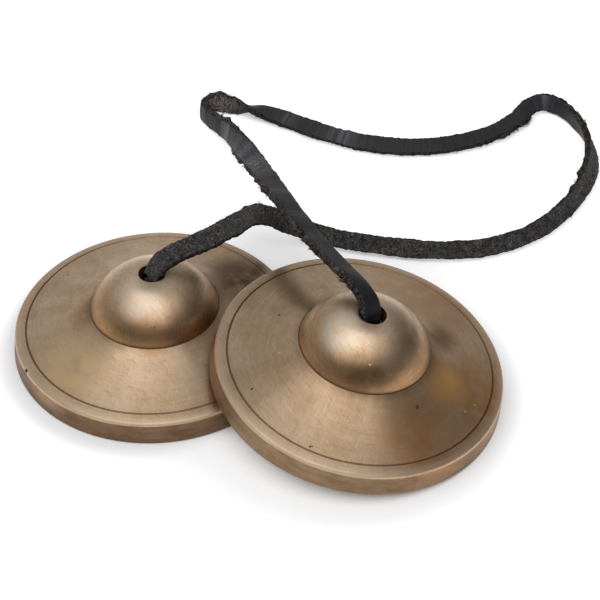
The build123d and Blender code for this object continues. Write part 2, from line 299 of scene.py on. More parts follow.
# Materials
class Finish:
    """One material's nodes, added and joined in plain steps."""

    def __init__(self, name):
        self.material = bpy.data.materials.new(name)
        self.material.use_nodes = True
        self.tree = self.material.node_tree
        self.shader = self.tree.nodes["Principled BSDF"]

    def add(self, kind, **settings):
        node = self.tree.nodes.new(kind)
        for key, value in settings.items():
            setattr(node, key, value)
        return node

    def feed(self, target, value):
        """Joins a node's output to a socket, or sets the socket's own value."""
        if isinstance(value, bpy.types.NodeSocket):
            self.tree.links.new(value, target)
        else:
            target.default_value = value

    def set(self, **sockets):
        for name, value in sockets.items():
            self.feed(self.shader.inputs[name.replace("_", " ")], value)

    def math(self, operation, *values):
        node = self.add("ShaderNodeMath", operation=operation)
        for socket, value in zip(node.inputs, values):
            self.feed(socket, value)
        return node.outputs[0]

    def place(self):
        return self.add("ShaderNodeTexCoord").outputs["Object"]

    def mapped(self, vector, **settings):
        kind = settings.pop("kind", "POINT")
        node = self.add("ShaderNodeMapping", vector_type=kind)
        self.feed(node.inputs["Vector"], vector)
        for name, value in settings.items():
            node.inputs[name].default_value = value
        return node.outputs[0]

    def noise(self, place, scale, detail=2.0, roughness=0.5):
        node = self.add("ShaderNodeTexNoise")
        self.feed(node.inputs["Vector"], place)
        node.inputs["Scale"].default_value = scale
        node.inputs["Detail"].default_value = detail
        node.inputs["Roughness"].default_value = roughness
        return node.outputs["Fac"]

    def span(self, value, low, high, to_low=0.0, to_high=1.0):
        """A value's range eased to another range."""
        node = self.add("ShaderNodeMapRange", interpolation_type="SMOOTHSTEP")
        for socket, number in zip(node.inputs, (value, low, high, to_low, to_high)):
            self.feed(socket, number)
        return node.outputs["Result"]

    def band(self, value, low, high, soft):
        """Full between two values, with soft ends."""
        rise = self.span(value, low - soft, low + soft)
        return self.math("MULTIPLY", rise, self.span(value, high + soft, high - soft))

    def mix(self, share, first, second):
        node = self.add("ShaderNodeMix", data_type="RGBA")
        self.feed(node.inputs["Factor"], share)
        for socket, value in ((node.inputs[6], first), (node.inputs[7], second)):
            self.feed(socket, value if isinstance(value, bpy.types.NodeSocket) else (*value, 1.0))
        return node.outputs[2]

    def bump(self, height, distance, strength=1.0, under=None):
        node = self.add("ShaderNodeBump")
        node.inputs["Strength"].default_value = strength
        node.inputs["Distance"].default_value = distance
        self.feed(node.inputs["Height"], height)
        if under is not None:
            self.feed(node.inputs["Normal"], under)
        return node.outputs["Normal"]

    def attribute(self, name):
        return self.add("ShaderNodeAttribute", attribute_name=name).outputs["Fac"]

    def spots(self, own, marks):
        """Small round marks, full in the middle and soft at the edge."""
        total = 0.0
        for distance, angle, size in marks:
            away = self.add("ShaderNodeVectorMath", operation="DISTANCE")
            self.feed(away.inputs[0], own)
            away.inputs[1].default_value = mark_place(distance, angle)
            spot = self.span(away.outputs["Value"], size * MM, 0.35 * size * MM)
            total = self.math("MAXIMUM", spot, total)
        return total


def brushed_bronze(name, foot, turn, seed, pits, specks, shaded_wall_tones, tone_and_light_patches):
    """Turned and hand-brushed bronze with a brown patina, laid out about the cymbal's own axis."""
    f = Finish(name)
    own = f.mapped(f.place(), kind="TEXTURE", Location=foot, Rotation=turn.to_euler())
    split = f.add("ShaderNodeSeparateXYZ")
    f.feed(split.inputs[0], own)
    x, y, z = split.outputs
    radius = f.math("SQRT", f.math("ADD", f.math("MULTIPLY", x, x), f.math("MULTIPLY", y, y)))
    angle = f.math("ARCTAN2", y, x)
    half_turn = f.math("SINE", f.math("MULTIPLY", angle, 0.5))
    half_turn_across = f.math("COSINE", f.math("MULTIPLY", angle, 0.5))

    def rings(radial, around, upward):
        """A place for noise that is drawn out along the lathe's rings."""
        node = f.add("ShaderNodeCombineXYZ")
        f.feed(node.inputs[0], f.math("MULTIPLY_ADD", radius, radial, seed))
        f.feed(node.inputs[1], f.math("MULTIPLY", half_turn, around))
        back = f.math("MULTIPLY", half_turn_across, around)
        f.feed(node.inputs[2], f.math("MULTIPLY_ADD", z, upward, back))
        return node.outputs[0]

    def strokes(slant):
        """A place for noise that is drawn out along short straight strokes, at that slant."""
        return f.mapped(own, kind="TEXTURE", Rotation=(0, 0, slant), Scale=BRUSH_STROKE)

    fine_rings = f.noise(rings(3000.0, 12.0, 3000.0), 1.0, 2.0, 0.60)
    broad_rings = f.noise(rings(620.0, 3.0, 620.0), 1.0, 3.0, 0.55)
    fans = f.noise(rings(25.0, 11.0, 25.0), 1.0, 3.0, 0.6)
    slant_turn, cross_turn = math.radians(-48 + seed), math.radians(80 + seed)
    slant_hatch = f.noise(strokes(slant_turn), 1.0, 3.0, 0.60)
    cross_hatch = f.noise(strokes(cross_turn), 1.0, 3.0, 0.60)
    cloud = f.noise(own, 120.0, 4.0, 0.6)
    blotch = f.noise(f.mapped(own, Location=(seed, seed, 0)), 42.0, 3.0, 0.55)

    clean = f.mix(f.span(cloud, 0.32, 0.70), *CLEAN_TONES)
    patina = f.mix(f.span(blotch, 0.44, 0.74, 0.0, 0.55), clean, PATINA_TONE)
    fanned = f.mix(f.span(fans, 0.42, 0.72, 0.0, 0.40), patina, FAN_TONE)
    on_dome = f.span(radius, 0.0164, 0.0158)
    # The dome's lower part darker and browner: a painted reflection of the disc round it
    dome_foot_reflection = f.math("MULTIPLY", on_dome, f.span(z, 0.0212, 0.0138, 0.0, 0.9))
    browner = f.mix(dome_foot_reflection, fanned, DOME_FOOT_REFLECTION_TONE)
    # The dome's head paler and whiter: a painted highlight
    dome_head_highlight = f.span(radius, 0.0115, 0.0050, 0.0, 0.50)
    painted_sheen = f.mix(dome_head_highlight, browner, DOME_HEAD_HIGHLIGHT_TONE)
    ringed = f.mix(f.span(broad_rings, 0.45, 0.75, 0.0, 0.35), painted_sheen, BROAD_RING_TONE)
    turned = f.mix(f.span(fine_rings, 0.50, 0.74, 0.0, 0.40), ringed, FINE_RING_TONE)
    slanted = f.mix(f.span(slant_hatch, 0.50, 0.74, 0.0, 0.42), turned, SLANT_TONE)
    hatched = f.mix(f.span(cross_hatch, 0.50, 0.74, 0.0, 0.34), slanted, CROSS_TONE)

    # The rim's outer wall takes the darker wall tones, a painted shade
    wall = f.math("MULTIPLY", f.span(radius, 0.0349, 0.0353), f.span(z, 0.0056, 0.0050))
    wall_stain = f.noise(f.mapped(own, Scale=(130.0, 130.0, 420.0)), 1.0, 5.0, 0.66)
    walled = f.mix(wall, hatched, f.mix(f.span(wall_stain, 0.30, 0.70), *shaded_wall_tones))

    uneven = f.span(f.noise(own, 210.0, 2.0, 0.5), 0.15, 0.60)
    patched = walled
    # Patches of painted shade, reflections and highlights, and of other tones
    for distance, patch_angle, reach, tone in tone_and_light_patches:
        away = f.add("ShaderNodeVectorMath", operation="DISTANCE")
        f.feed(away.inputs[0], own)
        away.inputs[1].default_value = mark_place(distance, patch_angle)
        share = f.math("MULTIPLY", f.span(away.outputs["Value"], reach * MM, 0.2 * reach * MM), uneven)
        patched = f.mix(share, patched, tone)

    # Darker in the hollows: dark lines in the crease and the groove, darker round the hole, and a wider haze
    crease_line = f.band(radius, 0.01585, 0.01618, 0.00016)
    crease = f.math("MULTIPLY", crease_line, f.span(z, 0.0135, 0.0125, 0.0, 0.95))
    # The wider haze round the crease is painted shade where the dome meets the disc
    crease_shade_band = f.band(radius, 0.0152, 0.0172, 0.0011)
    painted_crease_shade = f.math("MULTIPLY", crease_shade_band, f.span(z, 0.0150, 0.0122, 0.0, 0.26))
    groove = f.math("MULTIPLY", f.band(radius, 0.03224, 0.03266, 0.00009), 0.78)
    hole = f.span(radius, 0.0036, 0.0033)
    creased = f.math("MAXIMUM", crease, painted_crease_shade)
    dirt_and_shade = f.math("MAXIMUM", creased, f.math("MAXIMUM", groove, f.math("MULTIPLY", hole, 0.7)))
    pit = f.spots(own, pits)
    darkened = f.mix(f.math("MULTIPLY", dirt_and_shade, 0.9), patched, DIRT_AND_SHADE_TONE)
    # The rim's top rounding is paler, partly wear and partly a painted highlight, and rougher
    edge = f.math("MULTIPLY", f.span(radius, 0.0330, 0.0345), f.span(z, 0.0052, 0.0058))
    worn_and_highlit = f.mix(f.math("MULTIPLY", edge, 0.40), darkened, WORN_EDGE_HIGHLIGHT_TONE)
    pitted = f.mix(f.math("MULTIPLY", pit, 0.9), worn_and_highlit, PIT_TONE)
    specked = f.mix(f.spots(own, specks), pitted, SPECK_TONE) if specks else pitted

    rough = f.math("MULTIPLY_ADD", f.span(cloud, 0.3, 0.7), 0.09, 0.335)
    hatch_rough = f.math("MULTIPLY_ADD", f.span(slant_hatch, 0.35, 0.75), 0.07, rough)
    dull = f.math("MAXIMUM", f.math("MULTIPLY", dirt_and_shade, 0.65), f.math("MULTIPLY", pit, 0.9))
    dull = f.math("MAXIMUM", dull, f.math("MULTIPLY", edge, 0.52))
    tangent = f.add("ShaderNodeTangent", direction_type="UV_MAP", uv_map="brushing")
    lathe = f.bump(fine_rings, 0.000012, 0.40)
    brushed = f.bump(slant_hatch, 0.000016, 0.30, lathe)
    crossed = f.bump(cross_hatch, 0.000016, 0.25, brushed)
    f.set(Base_Color=specked, Metallic=1.0, Anisotropic=0.6, Roughness=f.math("MAXIMUM", hatch_rough, dull),
          Tangent=tangent.outputs[0], Normal=f.bump(pit, 0.0002, -0.6, crossed))
    return f.material


def cast_bronze():
    """The unpolished inside of a bell: darker, with a cast skin."""
    f = Finish("cast_bronze_inside")
    place = f.place()
    skin = f.noise(place, 1100.0, 4.0, 0.6)
    stain = f.noise(place, 130.0, 4.0, 0.6)
    colour = f.mix(f.span(stain, 0.3, 0.7), *CAST_TONES)
    f.set(Base_Color=colour, Metallic=1.0, Roughness=f.span(skin, 0.2, 0.8, 0.42, 0.65),
          Normal=f.bump(skin, 0.00012, 0.7))
    return f.material


def grain_leather():
    """The strap's smooth side: near black, creased and cracked, with a painted sheen along creases and on one
    stretch.
    """
    f = Finish("grain_leather")
    place = f.place()
    along = f.add("ShaderNodeUVMap", uv_map="strap").outputs[0]
    pores = f.add("ShaderNodeTexVoronoi", feature="DISTANCE_TO_EDGE")
    f.feed(pores.inputs["Vector"], place)
    pores.inputs["Scale"].default_value = 2400.0
    net = f.add("ShaderNodeTexVoronoi", feature="DISTANCE_TO_EDGE")
    f.feed(net.inputs["Vector"], f.mapped(along, Scale=(5.0, 17.0, 1.0)))
    net.inputs["Scale"].default_value = 1.0
    scuff = f.noise(f.mapped(along, Scale=(7.0, 3.0, 1.0)), 1.0, 4.0, 0.65)
    creases = f.noise(f.mapped(along, Scale=(1.5, 0.5, 1.0)), 1.0, 2.0, 0.5)
    cloud = f.noise(place, 160.0, 3.0, 0.6)
    base = f.mix(f.span(cloud, 0.35, 0.70), *GRAIN_TONES)
    # A broad, patchy painted sheen on one stretch of the grain
    lightening = f.math("MULTIPLY", f.attribute("broad_sheen"), f.span(scuff, 0.36, 0.66, 0.62, 1.0))
    sheened = f.mix(lightening, base, GRAIN_BROAD_SHEEN_TONE)
    creased = f.span(creases, 0.36, 0.72)
    # Pale lines along the creases, faint everywhere and strong in the sheen places: a painted sheen
    crease_sheen = f.math("MULTIPLY", creased, f.math("MULTIPLY_ADD", f.attribute("painted_sheen"), 0.90, 0.01))
    crack = f.attribute("cracked")
    # Cracked places: pale crack lines, and a painted sheen between them
    cracked = f.math("MULTIPLY", crack, f.span(net.outputs["Distance"], 0.10, 0.02, 0.0, 0.8))
    crack_sheen = f.math("MULTIPLY", crack, f.span(scuff, 0.45, 0.72, 0.0, 0.35))
    pale = f.math("MAXIMUM", crease_sheen, f.math("MAXIMUM", cracked, crack_sheen))
    rough = f.math("MULTIPLY_ADD", f.span(cloud, 0.3, 0.7), 0.14, 0.40)
    pebbled = f.bump(pores.outputs["Distance"], 0.00008, 0.50)
    crazed = f.bump(scuff, 0.00018, 0.60, pebbled)
    f.set(Base_Color=f.mix(pale, sheened, GRAIN_SHEEN_TONE), Roughness=rough, Specular_IOR_Level=0.12,
          Normal=f.bump(creases, 0.00030, 0.18, crazed))
    return f.material


def suede_leather():
    """The strap's rough flesh side: dark mottled nap, lighter where it is brushed up."""
    f = Finish("suede_leather")
    place = f.place()
    nap = f.noise(place, 1900.0, 4.0, 0.70)
    tuft = f.noise(place, 720.0, 4.0, 0.68)
    lightening = f.noise(place, 150.0, 3.0, 0.55)
    dark = f.mix(f.span(tuft, 0.34, 0.68), *SUEDE_TONES)
    raised = f.math("MULTIPLY", f.span(nap, 0.48, 0.68), f.span(lightening, 0.32, 0.62, 0.40, 1.0))
    napped = f.mix(raised, dark, SUEDE_NAP)
    bare = f.math("MULTIPLY", f.attribute("frayed"), f.span(nap, 0.40, 0.62, 0.0, 0.90))
    f.set(Base_Color=f.mix(bare, napped, SUEDE_BARE), Roughness=0.95, Specular_IOR_Level=0.10,
          Sheen_Weight=0.10, Sheen_Roughness=0.6, Normal=f.bump(nap, 0.00035, 1.0, f.bump(tuft, 0.0007, 0.6)))
    return f.material


def raw_edge_leather():
    """Cut edges and loose fibres: dark, and brown where they are frayed past the dye."""
    f = Finish("raw_edge_leather")
    place = f.place()
    fibre = f.noise(place, 1700.0, 4.0, 0.70)
    undyed = f.noise(place, 260.0, 3.0, 0.55)
    dark = f.mix(f.span(fibre, 0.38, 0.64), *EDGE_TONES)
    patch = f.span(undyed, 0.40, 0.62, 0.25, 1.0)
    frayed = f.math("MULTIPLY_ADD", f.attribute("frayed"), 0.85, 0.05)
    bare = f.math("MULTIPLY", frayed, f.math("MULTIPLY", patch, f.span(fibre, 0.38, 0.62)))
    f.set(Base_Color=f.mix(bare, dark, EDGE_BARE), Roughness=0.95, Specular_IOR_Level=0.10,
          Normal=f.bump(fibre, 0.0004, 1.0))
    return f.material


# Cymbals
def corner_arc(before, corner, after, size, steps):
    """The points of a corner rounded to that radius."""
    before, corner, after = Vector(before), Vector(corner), Vector(after)
    into, out = (before - corner).normalized(), (after - corner).normalized()
    half = into.angle(out) / 2
    centre = corner + (into + out).normalized() * size / math.sin(half)
    start = corner + into * size / math.tan(half) - centre
    end = corner + out * size / math.tan(half) - centre
    turn = start.angle(end)
    points = []
    for step in range(steps + 1):
        share = step / steps
        swung = start * math.sin((1 - share) * turn) + end * math.sin(share * turn)
        points.append(tuple(centre + swung / math.sin(turn)))
    return points


def between(low, high, steps):
    return [low + (high - low) * step / steps for step in range(1, steps)]


def dome_point(angle, size=DOME_RADIUS):
    return (size * math.sin(angle), DOME_CENTRE + size * math.cos(angle))


def disc_points(low, high, steps, drop=0.0):
    return [(radius, disc_top(radius) - drop) for radius in between(low, high, steps)]


def groove_points():
    """The round-bottomed groove inside the rim band."""
    half = GROOVE_WIDTH / 2
    curve = (half**2 + GROOVE_DEPTH**2) / (2 * GROOVE_DEPTH)
    points = []
    for share in (-1.5, -1.0, -0.85, -0.55, 0.0, 0.55, 0.85, 1.0, 1.5):
        depth = max(0.0, math.sqrt(max(curve**2 - (share * half) ** 2, 0.0)) - curve + GROOVE_DEPTH)
        radius = GROOVE_RADIUS + share * half
        points.append((radius, disc_top(radius) - depth))
    return points


def underside_meeting():
    """Radius at which the disc's underside meets the dome's inside."""
    low, high = HOLE_RADIUS, INSIDE_RADIUS
    for _ in range(50):
        middle = (low + high) / 2
        if disc_top(middle) - DISC_THICKNESS > dome_top(middle, INSIDE_RADIUS):
            high = middle
        else:
            low = middle
    return low


def cymbal_profile():
    """The casting's closed section, as radius and height."""
    mouth_angle, crease_angle = math.asin(HOLE_RADIUS / DOME_RADIUS), math.asin(BOSS_RADIUS / DOME_RADIUS)
    mouth, hole_end = (HOLE_RADIUS, MOUTH_HEIGHT), (HOLE_RADIUS, HOLE_FOOT)
    crease, past_crease = (BOSS_RADIUS, BOSS_HEIGHT), (BOSS_RADIUS + 1, disc_top(BOSS_RADIUS + 1))
    rim, foot, lip = (RIM_TOP, RIM_HEIGHT), (RIM_RADIUS, 0.0), (LIP_INNER, 0.0)
    slope = (LIP_INNER - LIP_SLOPE, disc_top(LIP_INNER - LIP_SLOPE) - DISC_THICKNESS)
    meeting = underside_meeting()
    meeting_angle, inner_angle = math.asin(meeting / INSIDE_RADIUS), math.asin(HOLE_RADIUS / INSIDE_RADIUS)
    groove_end = GROOVE_RADIUS + GROOVE_WIDTH

    points = corner_arc(hole_end, mouth, dome_point(mouth_angle + 0.1), HOLE_ROUND, 5)
    points += [dome_point(angle) for angle in between(mouth_angle + 0.03, crease_angle - 0.03, 36)]
    points += corner_arc(dome_point(crease_angle - 0.05), crease, past_crease, CREASE_ROUND, 4)
    points += disc_points(BOSS_RADIUS + 0.35, GROOVE_RADIUS - GROOVE_WIDTH, 44)
    points += groove_points()
    points += disc_points(groove_end, RIM_TOP - RIM_ROUND, 6)
    points += corner_arc((RIM_TOP - 2, disc_top(RIM_TOP - 2)), rim, foot, RIM_ROUND, 7)
    wall_heights = between(RIM_HEIGHT - 1.0, 0.6, 8)
    points += [(RIM_RADIUS - WALL_DRAFT * height / RIM_HEIGHT, height) for height in wall_heights]
    points += corner_arc(rim, foot, lip, FOOT_ROUND, 4)
    points += [(radius, 0.0) for radius in between(RIM_RADIUS - 0.6, LIP_INNER + 0.4, 6)]
    points += corner_arc(foot, lip, slope, FOOT_ROUND, 4)
    points += [(lip[0] + (slope[0] - lip[0]) * share, slope[1] * share) for share in between(0.15, 1.0, 5)]
    points += disc_points(slope[0] + 0.8, meeting, 20, DISC_THICKNESS)
    inside_angles = between(meeting_angle + 0.05, inner_angle + 0.04, 16)
    points += [dome_point(angle, INSIDE_RADIUS) for angle in inside_angles]
    points += corner_arc(dome_point(inner_angle + 0.08, INSIDE_RADIUS), hole_end, mouth, HOLE_ROUND, 5)
    points += [(HOLE_RADIUS, height) for height in between(HOLE_FOOT + 0.5, MOUTH_HEIGHT - 0.5, 4)]
    return points


def spin_casting():
    """The bare casting about the Z axis, in millimetres: its section as a ring of points, spun once round."""
    points = cymbal_profile()
    bpy.ops.object.select_all(action="DESELECT")
    bpy.ops.mesh.primitive_circle_add(vertices=len(points), radius=RIM_RADIUS, fill_type="NOTHING")
    casting = bpy.context.object
    for vertex, (radius, height) in zip(casting.data.vertices, points):
        vertex.co = (radius, 0.0, height)
    bpy.ops.object.mode_set(mode="EDIT")
    bpy.ops.mesh.select_all(action="SELECT")
    bpy.ops.mesh.spin(steps=SPIN_STEPS, angle=2 * math.pi, center=(0, 0, 0), axis=(0, 0, 1))
    bpy.ops.mesh.select_all(action="SELECT")
    bpy.ops.mesh.remove_doubles(threshold=0.0005)
    bpy.ops.mesh.normals_make_consistent(inside=False)
    bpy.ops.object.mode_set(mode="OBJECT")
    return casting


def finish_cymbal(cymbal, name, foot, turn, notch, materials):
    """Gives one casting its notch, the lie of its brushing and its materials, and sets it in place."""
    cymbal.name = name
    mesh = cymbal.data
    mesh.name = name
    places = np.empty(len(mesh.vertices) * 3)
    mesh.vertices.foreach_get("co", places)
    places = places.reshape(-1, 3)
    if notch:
        distance, angle, size, depth = notch
        around = math.radians(angle)
        outward = np.array([math.cos(around), math.sin(around)])
        dent = np.hypot(places[:, 0] - distance * outward[0], places[:, 1] - distance * outward[1]) / size
        sunk = (dent < 1) & (places[:, 2] > NOTCH_LOWEST)
        inward = np.array([-outward[0], -outward[1], -NOTCH_SINK])
        places[sunk] += depth * (1 - dent[sunk] ** 2)[:, None] * inward
        mesh.vertices.foreach_set("co", places.ravel())
    corners = np.empty(len(mesh.loops), dtype=np.int32)
    mesh.loops.foreach_get("vertex_index", corners)
    corner_places = places[corners].reshape(-1, 4, 3)
    angles = np.arctan2(corner_places[:, :, 1], corner_places[:, :, 0])
    wraps = (angles.max(axis=1) - angles.min(axis=1)) > math.pi
    angles[wraps] = np.where(angles[wraps] < 0, angles[wraps] + 2 * math.pi, angles[wraps])
    radii = np.hypot(corner_places[:, :, 0], corner_places[:, :, 1])
    heights = corner_places[:, :, 2]
    middle_radius, middle_height = radii.mean(axis=1), heights.mean(axis=1)
    on_dome = (middle_radius < BOSS_RADIUS) & (middle_height > dome_top(middle_radius) - 0.6)
    across = (radii - heights) / RIM_RADIUS
    around = angles / math.pi
    first = np.where(on_dome[:, None], around, across)
    second = np.where(on_dome[:, None], across, around)
    uv = mesh.uv_layers.new(name="brushing")
    uv.data.foreach_set("uv", np.stack([first, second], axis=2).ravel())
    below_disc = middle_height < disc_top(np.maximum(middle_radius, BOSS_RADIUS)) - 1.5
    below_dome = middle_height < dome_top(middle_radius) - 1.5
    under_disc = (middle_radius < LIP_INNER - 0.3) & (middle_radius >= BOSS_RADIUS) & below_disc
    under_dome = (middle_radius < BOSS_RADIUS) & (middle_radius > HOLE_RADIUS + 0.3) & below_dome
    mesh.polygons.foreach_set("material_index", (under_disc | under_dome).astype(np.int32))
    for material in materials:
        mesh.materials.append(material)
    mesh.transform(Matrix.Translation(foot) @ turn.to_4x4() @ Matrix.Scale(MM, 4))
    bpy.ops.object.select_all(action="DESELECT")
    cymbal.select_set(True)
    bpy.context.view_layer.objects.active = cymbal
    bpy.ops.object.shade_smooth_by_angle(angle=math.radians(40))
    return cymbal


# Strap
def read_spline(points, name):
    """The points of the smooth spline that has that route as its control points."""
    curve = bpy.data.curves.new(name, "CURVE")
    curve.dimensions = "3D"
    spline = curve.splines.new("NURBS")
    spline.points.add(len(points) - 1)
    for control, place in zip(spline.points, points):
        control.co = (*place, 1.0)
    spline.order_u = 3
    spline.use_endpoint_u = True
    curve.resolution_u = spline.resolution_u = POINTS_PER_RUN
    holder = bpy.data.objects.new(name, curve)
    scene.collection.objects.link(holder)
    bpy.context.view_layer.update()
    mesh = bpy.data.meshes.new_from_object(holder.evaluated_get(bpy.context.evaluated_depsgraph_get()))
    places = np.array([vertex.co[:] for vertex in mesh.vertices])
    bpy.data.objects.remove(holder)
    bpy.data.curves.remove(curve)
    bpy.data.meshes.remove(mesh)
    return places


def strap_route():
    route = [(FLAT_MOUTH + Vector(offset), Vector(side)) for offset, side in FLAT_END_ROUTE]
    route += [(FLAT_FOOT + Vector(place), Vector(side)) for place, side in LOOP_ROUTE]
    return route + [(LEANING_MOUTH + Vector(offset), Vector(side)) for offset, side in LEANING_END_ROUTE]


def thong_line(route, name):
    """A thong's middle line, and at each point its way along, its grain side's facing and its way across."""
    middle = read_spline([place for place, _ in route], name)
    rail = read_spline([place + side.normalized() * RAIL_REACH for place, side in route], name + "_rail")
    along = np.gradient(middle, axis=0)
    along /= np.linalg.norm(along, axis=1)[:, None]
    up = rail - middle
    up -= (up * along).sum(axis=1)[:, None] * along
    up /= np.linalg.norm(up, axis=1)[:, None]
    travel = np.concatenate([[0.0], np.cumsum(np.linalg.norm(np.diff(middle, axis=0), axis=1))])
    return {"middle": middle, "along": along, "up": up, "across": np.cross(along, up), "travel": travel}


def stretch(line, start, end):
    return {key: values[start:end] for key, values in line.items()}


def thong_section():
    """The thong's section, in half widths, half thicknesses and kind: 0 grain, 1 cut edge, 2 suede."""
    section = [(x, 1.0 - 0.12 * abs(x) ** 4, 0) for x in GRAIN_STATIONS]
    section += [(0.975, 0.74, 1), (1.0, 0.40, 1), (1.01, 0.0, 1), (1.0, -0.40, 1), (0.985, -0.76, 1)]
    section += [(x, -1.0 + 0.06 * abs(x) ** 4, 2) for x in SUEDE_STATIONS]
    section += [(-0.985, -0.76, 1), (-1.0, -0.40, 1), (-1.01, 0.0, 1), (-1.0, 0.40, 1), (-0.975, 0.74, 1)]
    return section


def nearness(places, spots):
    """How near each place is to the nearest of some spots, from 0 to 1."""
    share = np.zeros(len(places))
    for spot, reach in spots:
        away = np.linalg.norm(places - np.array(FLAT_FOOT + Vector(spot)), axis=1) / reach
        share = np.maximum(share, np.exp(-away * away * 2))
    return share


def fraying(places, side, browner=False):
    """How frayed an edge is at each place, or how brown the fraying leaves it."""
    share = np.zeros(len(places))
    for spot, reach, frayed_side, brown in FRAYED_PLACES:
        if frayed_side == side:
            share = np.maximum(share, nearness(places, [(spot, reach)]) * (brown if browner else 1.0))
    return share


def ripple(place, size, shift=0.0):
    return noise.noise(Vector(place) / size + Vector((shift, 0.37 * shift, -shift)))


def thong_surface(line, widths, frayed, painted_sheen):
    """Points of the thong's skin: wrinkled grain, napped suede and ragged cut edges."""
    section = thong_section()
    half_widths = STRAP_WIDTH / 2 * MM * np.broadcast_to(widths, len(line["middle"]))
    half_depth = STRAP_THICKNESS / 2 * MM
    skin = []
    for i, centre in enumerate(line["middle"]):
        travel, up, across = line["travel"][i], line["up"][i], line["across"][i]
        sway = 1.0 + 0.09 * ripple((travel, 0, 0), 0.008)
        cup = 0.18 * ripple((travel, 1, 0), 0.012, 3.0)
        wander = 0.20 * MM * ripple((travel, 2, 0), 0.006, 9.0)
        fold = 0.02 + 0.14 * painted_sheen[i]
        for x, height, kind in section:
            lift = height * half_depth + cup * (x * x - 0.4) * half_depth + wander
            place = centre + across * x * half_widths[i] * sway + up * lift
            if kind == 0:
                crease = fold * ripple((travel * 3.0, x * 0.0012, 0), 0.0024)
                place = place + up * (crease + 0.07 * ripple(place, 0.0045)) * MM
            elif kind == 2:
                nap = 0.16 * ripple(place, 0.0008) + 0.22 * ripple(place, 0.0021, 2.0)
                place = place - up * nap * MM
            else:
                fray = frayed[i, 0 if x > 0 else 1]
                small_rags = 0.26 * ripple(place, 0.0008)
                large_rags = (0.26 + 0.5 * fray) * ripple(place, 0.0026, 5.0)
                ragged = (small_rags + large_rags) * (0.9 + fray) + 0.2 * fray
                place = place + across * math.copysign(1.0, x) * ragged * MM
            skin.append(place)
    return np.array(skin)


def fibre_strands(line, frayed, amount, seed):
    """Loose fibres, in small tufts, that stand out from the cut edges."""
    pick = random.Random(seed)
    strands = []
    while len(strands) < amount:
        i, side = pick.randrange(3, len(line["middle"]) - 3), pick.randrange(2)
        fray = frayed[i, side]
        if pick.random() > 0.22 + 0.78 * fray:
            continue
        along, up, across = line["along"][i], line["up"][i], line["across"][i] * (1 - 2 * side)
        depth = pick.uniform(-0.95, 0.5)
        tuft = pick.random() < 0.32 * fray
        reach = pick.uniform(0.9, 1.7) if tuft else pick.uniform(0.35, 0.60 + 0.5 * fray)
        lead = across + along * pick.uniform(-0.9, 0.9) + up * pick.uniform(-0.5, 0.2)
        for _ in range(pick.randint(6, 10) if tuft else pick.randint(1, 4)):
            inset = across * FIBRE_ROOT + up * (depth + pick.uniform(-0.2, 0.2))
            root = line["middle"][i] + (inset + along * pick.uniform(-0.25, 0.25)) * MM
            lean = lead + along * pick.uniform(-0.4, 0.4) + up * pick.uniform(-0.3, 0.3)
            lean /= np.linalg.norm(lean)
            bend = along * pick.uniform(-0.9, 0.9) + up * pick.uniform(-0.6, 0.5)
            length = reach * pick.uniform(0.7, 1.1) * MM
            thick = pick.uniform(0.04, 0.085) * MM
            corners = (up, along * 0.87 - up * 0.5, -(along * 0.87 + up * 0.5))
            strand = []
            for share in (0.0, 0.35, 0.7, 1.0):
                spot = root + lean * length * share + bend * length * share * share * 0.5
                size = thick * (1.0 - 0.7 * share)
                strand.append([spot + corner * size for corner in corners])
            strands.append((np.array(strand).reshape(-1, 3), i, side))
    return strands


